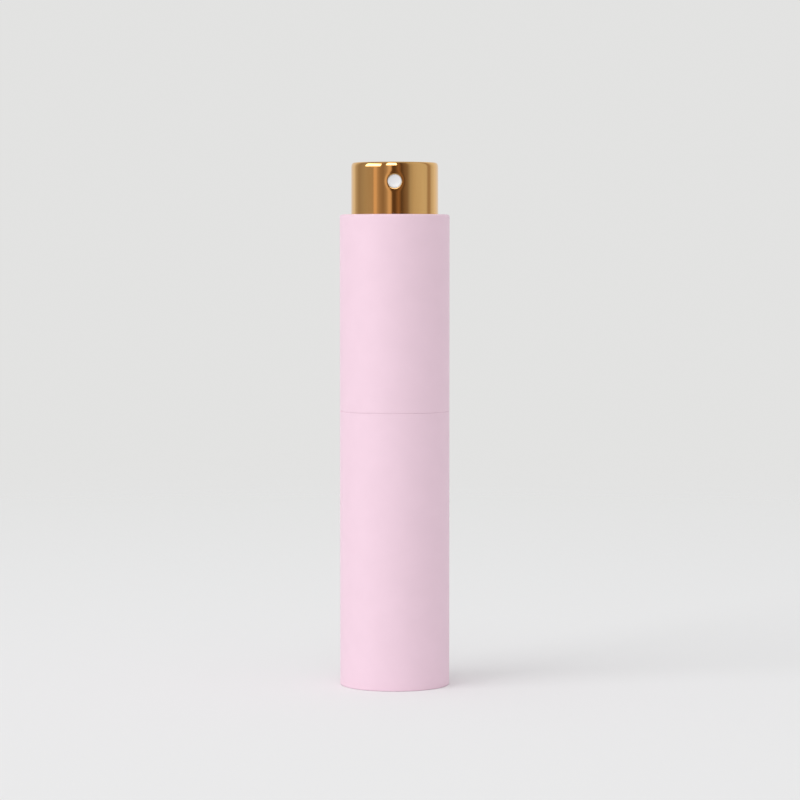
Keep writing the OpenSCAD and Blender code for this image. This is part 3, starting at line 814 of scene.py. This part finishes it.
def step_up(tree, value, degrees, soft):
    """Rise from 0 to 1 as an angle passes a limit, with a soft edge."""
    node = tree.nodes.new("ShaderNodeMapRange")
    node.interpolation_type = "SMOOTHSTEP"
    node.inputs["From Min"].default_value = math.radians(degrees - soft)
    node.inputs["From Max"].default_value = math.radians(degrees + soft)
    tree.links.new(value, node.inputs["Value"])
    return node.outputs["Result"]


def between(tree, value, low, high, soft):
    """1 between two angles and 0 outside them."""
    over_low = step_up(tree, value, low, soft)
    over_high = step_up(tree, value, high, soft)
    return math_node(tree, "SUBTRACT", over_low, over_high)


def mix_colours(tree, factor, first, second):
    """Blend two colours, each a node's output or a grey level."""
    node = tree.nodes.new("ShaderNodeMix")
    node.data_type = "RGBA"
    tree.links.new(factor, node.inputs["Factor"])
    for socket, colour in ((node.inputs["A"], first), (node.inputs["B"], second)):
        if isinstance(colour, float):
            socket.default_value = (colour, colour, colour, 1)
        else:
            tree.links.new(colour, socket)
    return node.outputs["Result"]


overhead = step_up(tree, height, CEILING_FROM, CEILING_SOFT)
seen = mix_colours(tree, overhead, ring(tree, PANELS), CEILING)
for left, right, low, high in LAMPS:
    across = between(tree, azimuth, left, right, LAMP_SOFT_ASIDE)
    up = between(tree, height, low, high, LAMP_SOFT_UP)
    seen = mix_colours(tree, math_node(tree, "MULTIPLY", across, up), seen, LAMP_GAIN)
print("stops round the ring:", len(PANELS), "lamps:", len(LAMPS))

# %% [markdown]
# A studio shot has three surroundings at once: the paper behind the object, the panels that its
# polish reflects, and the soft light that fills its shadows. One world gives all three, because
# a Light Path node tells which kind of ray is asking.


# %% Backdrop
def background(tree, colour):
    """A background shader of a plain colour or of a node's colour."""
    node = tree.nodes.new("ShaderNodeBackground")
    if isinstance(colour, tuple):
        node.inputs["Color"].default_value = (*colour, 1)
    else:
        tree.links.new(colour, node.inputs["Color"])
    return node.outputs["Background"]


def by_ray(tree, ray, others, this):
    """One background for a kind of ray, and another for the rest."""
    path = tree.nodes.new("ShaderNodeLightPath")
    mix = tree.nodes.new("ShaderNodeMixShader")
    tree.links.new(path.outputs[ray], mix.inputs["Fac"])
    tree.links.new(others, mix.inputs[1])
    tree.links.new(this, mix.inputs[2])
    return mix.outputs["Shader"]


ambient = background(tree, (AMBIENT, AMBIENT, AMBIENT))
lit = by_ray(tree, "Is Glossy Ray", ambient, background(tree, seen))
lit = by_ray(tree, "Is Camera Ray", lit, background(tree, BACKDROP))
out = tree.nodes.new("ShaderNodeOutputWorld")
tree.links.new(lit, out.inputs["Surface"])
print("ambient", AMBIENT)

# %% [markdown]
# The diffuse light comes from one large softbox at the left and front, with a weaker one above.
# Reflections don't see them, because the ring already gives the cap everything it reflects.


# %% Softboxes
def softbox(name, degrees, height, away, size, watts):
    """A square soft light, placed by its direction, that faces the middle of the object."""
    middle = Vector((0, 0, 0.05))
    flat = away * math.cos(math.radians(height))
    place = middle + Vector((
        flat * math.sin(math.radians(degrees)), -flat * math.cos(math.radians(degrees)),
        away * math.sin(math.radians(height)),
    ))
    data = bpy.data.lights.new(name, "AREA")
    data.shape = "SQUARE"
    data.size = size
    data.energy = watts
    obj = bpy.data.objects.new(name, data)
    obj.location = place
    obj.rotation_euler = (middle - place).to_track_quat("-Z", "Y").to_euler()
    obj.visible_glossy = False
    bpy.context.scene.collection.objects.link(obj)
    return obj


softboxes = [
    softbox("key", -56, 27, 3.2, 2.2, 34.6),
    softbox("top", -12, 60, 2.5, 1.25, 5.6),
]
print("softboxes:", ", ".join(light.name for light in softboxes))
